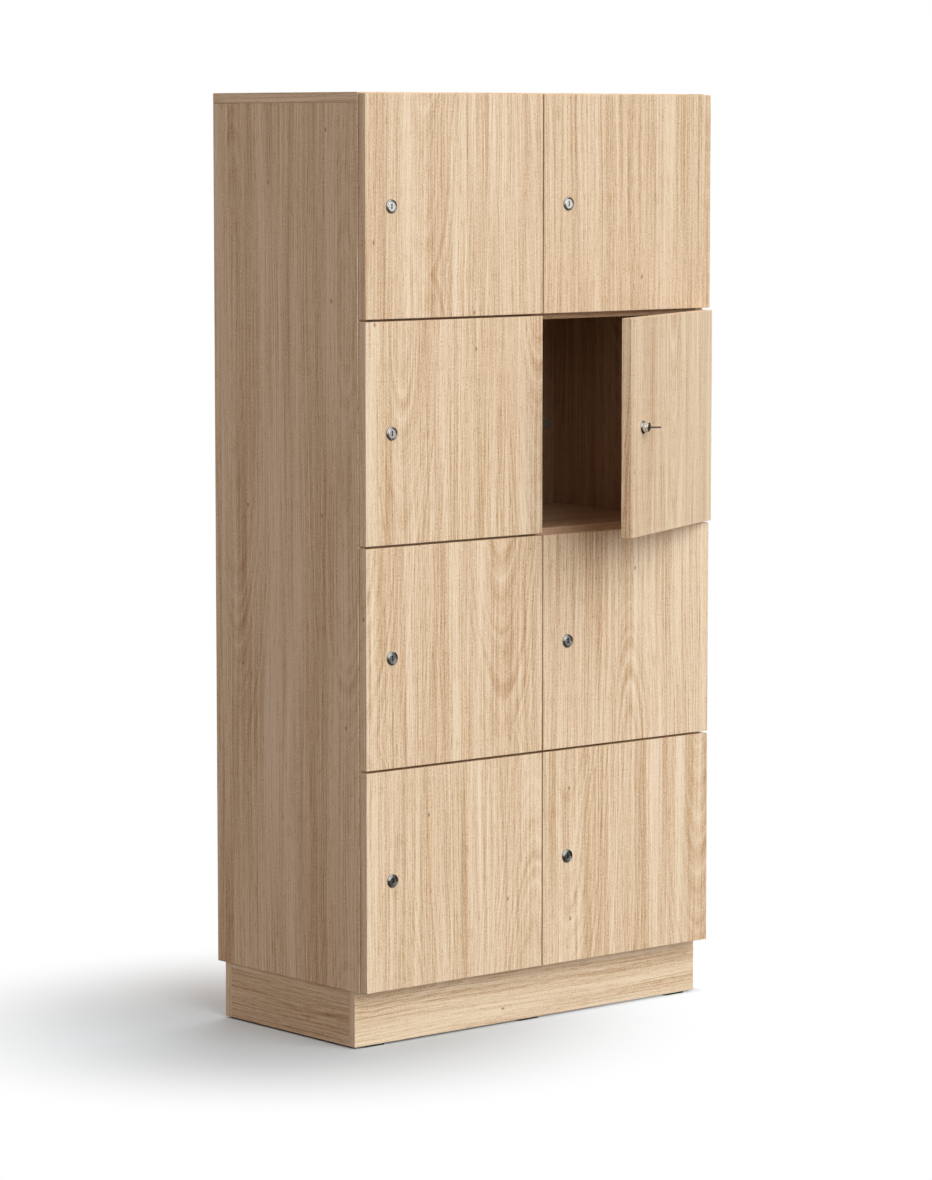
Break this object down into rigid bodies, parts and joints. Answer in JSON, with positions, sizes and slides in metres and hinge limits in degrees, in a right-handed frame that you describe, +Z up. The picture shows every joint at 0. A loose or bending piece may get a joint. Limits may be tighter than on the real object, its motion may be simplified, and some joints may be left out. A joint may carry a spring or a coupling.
{
  "type": "wooden compartment locker",
  "caption": "Wooden locker with two columns of compartments on a plinth, each with an overlay door on concealed cup hinges and a key-turned cam lock; one door stands ajar with its key in.",
  "frame": {"origin": "on the floor, under the middle floor glide of the plinth's front board, on the locker's mid-plane", "axes": "X to the locker's right as seen from the front, Y from front to back, Z up"},
  "size_m": [0.8027, 0.6024, 1.636],
  "materials": {
    "carcass_board": "matt oak-pattern laminate on board, grain upright on the sides and level on top edge, shelves and plinth",
    "door_board": "matt oak-pattern laminate on board, grain upright",
    "glide": "black moulded plastic",
    "hinge_metal": "satin nickel plate",
    "lock_metal": "polished nickel plate",
    "key_metal": "nickel-plated flat key"
  },
  "bodies": {
    "carcass": {"top_panel": "carcass_board", "bottom_panel": "carcass_board", "left_side": "carcass_board", "right_side": "carcass_board", "centre_divider": "carcass_board", "back_panel": "carcass_board", "shelf_left_1": "carcass_board", "shelf_left_2": "carcass_board", "shelf_left_3": "carcass_board", "shelf_right_1": "carcass_board", "shelf_right_2": "carcass_board", "shelf_right_3": "carcass_board", "plinth_front": "carcass_board", "plinth_back": "carcass_board", "plinth_sides": "carcass_board", "floor_glides": "glide", "hinge_plates": "hinge_metal", "hinge_arms": "hinge_metal", "lock_strikes": "hinge_metal"},
    "links_left_1": {"hinge_links_left_1": "hinge_metal"},
    "door_left_1": {"door_left_1": "door_board", "hinge_cups_left_1": "hinge_metal", "lock_housing_left_1": "lock_metal"},
    "plug_left_1": {"lock_plug_left_1": "lock_metal"},
    "links_left_2": {"hinge_links_left_2": "hinge_metal"},
    "door_left_2": {"door_left_2": "door_board", "hinge_cups_left_2": "hinge_metal", "lock_housing_left_2": "lock_metal"},
    "plug_left_2": {"lock_plug_left_2": "lock_metal"},
    "links_left_3": {"hinge_links_left_3": "hinge_metal"},
    "door_left_3": {"door_left_3": "door_board", "hinge_cups_left_3": "hinge_metal", "lock_housing_left_3": "lock_metal"},
    "plug_left_3": {"lock_plug_left_3": "lock_metal"},
    "links_left_4": {"hinge_links_left_4": "hinge_metal"},
    "door_left_4": {"door_left_4": "door_board", "hinge_cups_left_4": "hinge_metal", "lock_housing_left_4": "lock_metal"},
    "plug_left_4": {"lock_plug_left_4": "lock_metal"},
    "links_right_1": {"hinge_links_right_1": "hinge_metal"},
    "door_right_1": {"door_right_1": "door_board", "hinge_cups_right_1": "hinge_metal", "lock_housing_right_1": "lock_metal"},
    "plug_right_1": {"lock_plug_right_1": "lock_metal"},
    "links_right_2": {"hinge_links_right_2": "hinge_metal"},
    "door_right_2": {"door_right_2": "door_board", "hinge_cups_right_2": "hinge_metal", "lock_housing_right_2": "lock_metal"},
    "plug_right_2": {"lock_plug_right_2": "lock_metal"},
    "links_right_3": {"hinge_links_right_3": "hinge_metal"},
    "door_right_3": {"door_right_3": "door_board", "hinge_cups_right_3": "hinge_metal", "lock_housing_right_3": "lock_metal"},
    "plug_right_3": {"lock_plug_right_3": "lock_metal"},
    "links_right_4": {"hinge_links_right_4": "hinge_metal"},
    "door_right_4": {"door_right_4": "door_board", "hinge_cups_right_4": "hinge_metal", "lock_housing_right_4": "lock_metal"},
    "plug_right_4": {"lock_plug_right_4": "lock_metal"},
    "key": {"key": "key_metal"}
  },
  "joints": [
    {"name": "link_turn_left_1", "type": "hinge", "parent": "carcass", "child": "links_left_1", "pos_m": [-0.0335, -0.026, 1.444], "axis": [0, 0, 1], "range_deg": [-75.01, 0.01]},
    {"name": "door_swing_left_1", "type": "hinge", "parent": "links_left_1", "child": "door_left_1", "pos_m": [-0.0105, -0.027, 1.444], "axis": [0, 0, 1], "range_deg": [0, 175]},
    {"name": "plug_turn_left_1", "type": "hinge", "parent": "door_left_1", "child": "plug_left_1", "pos_m": [-0.3425, -0.042, 1.444], "axis": [0, 1, 0], "range_deg": [0, 180]},
    {"name": "link_turn_left_2", "type": "hinge", "parent": "carcass", "child": "links_left_2", "pos_m": [-0.0335, -0.026, 1.06], "axis": [0, 0, 1], "range_deg": [-75.01, 0.01]},
    {"name": "door_swing_left_2", "type": "hinge", "parent": "links_left_2", "child": "door_left_2", "pos_m": [-0.0105, -0.027, 1.06], "axis": [0, 0, 1], "range_deg": [0, 175]},
    {"name": "plug_turn_left_2", "type": "hinge", "parent": "door_left_2", "child": "plug_left_2", "pos_m": [-0.3425, -0.042, 1.06], "axis": [0, 1, 0], "range_deg": [0, 180]},
    {"name": "link_turn_left_3", "type": "hinge", "parent": "carcass", "child": "links_left_3", "pos_m": [-0.0335, -0.026, 0.676], "axis": [0, 0, 1], "range_deg": [-75.01, 0.01]},
    {"name": "door_swing_left_3", "type": "hinge", "parent": "links_left_3", "child": "door_left_3", "pos_m": [-0.0105, -0.027, 0.676], "axis": [0, 0, 1], "range_deg": [0, 175]},
    {"name": "plug_turn_left_3", "type": "hinge", "parent": "door_left_3", "child": "plug_left_3", "pos_m": [-0.3425, -0.042, 0.676], "axis": [0, 1, 0], "range_deg": [0, 180]},
    {"name": "link_turn_left_4", "type": "hinge", "parent": "carcass", "child": "links_left_4", "pos_m": [-0.0335, -0.026, 0.292], "axis": [0, 0, 1], "range_deg": [-75.01, 0.01]},
    {"name": "door_swing_left_4", "type": "hinge", "parent": "links_left_4", "child": "door_left_4", "pos_m": [-0.0105, -0.027, 0.292], "axis": [0, 0, 1], "range_deg": [0, 175]},
    {"name": "plug_turn_left_4", "type": "hinge", "parent": "door_left_4", "child": "plug_left_4", "pos_m": [-0.3425, -0.042, 0.292], "axis": [0, 1, 0], "range_deg": [0, 180]},
    {"name": "link_turn_right_1", "type": "hinge", "parent": "carcass", "child": "links_right_1", "pos_m": [0.367, -0.026, 1.444], "axis": [0, 0, 1], "range_deg": [-75.01, 0.01]},
    {"name": "door_swing_right_1", "type": "hinge", "parent": "links_right_1", "child": "door_right_1", "pos_m": [0.39, -0.027, 1.444], "axis": [0, 0, 1], "range_deg": [0, 175]},
    {"name": "plug_turn_right_1", "type": "hinge", "parent": "door_right_1", "child": "plug_right_1", "pos_m": [0.058, -0.042, 1.444], "axis": [0, 1, 0], "range_deg": [0, 180]},
    {"name": "link_turn_right_2", "type": "hinge", "parent": "carcass", "child": "links_right_2", "pos_m": [0.367, -0.026, 1.06], "axis": [0, 0, 1], "range_deg": [-55.44, 19.59]},
    {"name": "door_swing_right_2", "type": "hinge", "parent": "links_right_2", "child": "door_right_2", "pos_m": [0.38834, -0.03465, 1.06], "axis": [0, 0, 1], "range_deg": [-45.67, 129.32]},
    {"name": "plug_turn_right_2", "type": "hinge", "parent": "door_right_2", "child": "plug_right_2", "pos_m": [0.09679, -0.19418, 1.06], "axis": [-0.4399, 0.898, 0], "range_deg": [-90, 90]},
    {"name": "link_turn_right_3", "type": "hinge", "parent": "carcass", "child": "links_right_3", "pos_m": [0.367, -0.026, 0.676], "axis": [0, 0, 1], "range_deg": [-75.01, 0.01]},
    {"name": "door_swing_right_3", "type": "hinge", "parent": "links_right_3", "child": "door_right_3", "pos_m": [0.39, -0.027, 0.676], "axis": [0, 0, 1], "range_deg": [0, 175]},
    {"name": "plug_turn_right_3", "type": "hinge", "parent": "door_right_3", "child": "plug_right_3", "pos_m": [0.058, -0.042, 0.676], "axis": [0, 1, 0], "range_deg": [0, 180]},
    {"name": "link_turn_right_4", "type": "hinge", "parent": "carcass", "child": "links_right_4", "pos_m": [0.367, -0.026, 0.292], "axis": [0, 0, 1], "range_deg": [-75.01, 0.01]},
    {"name": "door_swing_right_4", "type": "hinge", "parent": "links_right_4", "child": "door_right_4", "pos_m": [0.39, -0.027, 0.292], "axis": [0, 0, 1], "range_deg": [0, 175]},
    {"name": "plug_turn_right_4", "type": "hinge", "parent": "door_right_4", "child": "plug_right_4", "pos_m": [0.058, -0.042, 0.292], "axis": [0, 1, 0], "range_deg": [0, 180]},
    {"name": "key_draw", "type": "slide", "parent": "plug_right_2", "child": "key", "axis": [0.4399, -0.898, 0], "range_m": [0, 0.03]}
  ],
  "couplings": [
    {"joint": "link_turn_left_1", "follows": "door_swing_left_1", "ratio": -0.42857},
    {"joint": "link_turn_left_2", "follows": "door_swing_left_2", "ratio": -0.42857},
    {"joint": "link_turn_left_3", "follows": "door_swing_left_3", "ratio": -0.42857},
    {"joint": "link_turn_left_4", "follows": "door_swing_left_4", "ratio": -0.42857},
    {"joint": "link_turn_right_1", "follows": "door_swing_right_1", "ratio": -0.42857},
    {"joint": "link_turn_right_2", "follows": "door_swing_right_2", "ratio": -0.42857},
    {"joint": "link_turn_right_3", "follows": "door_swing_right_3", "ratio": -0.42857},
    {"joint": "link_turn_right_4", "follows": "door_swing_right_4", "ratio": -0.42857}
  ]
}
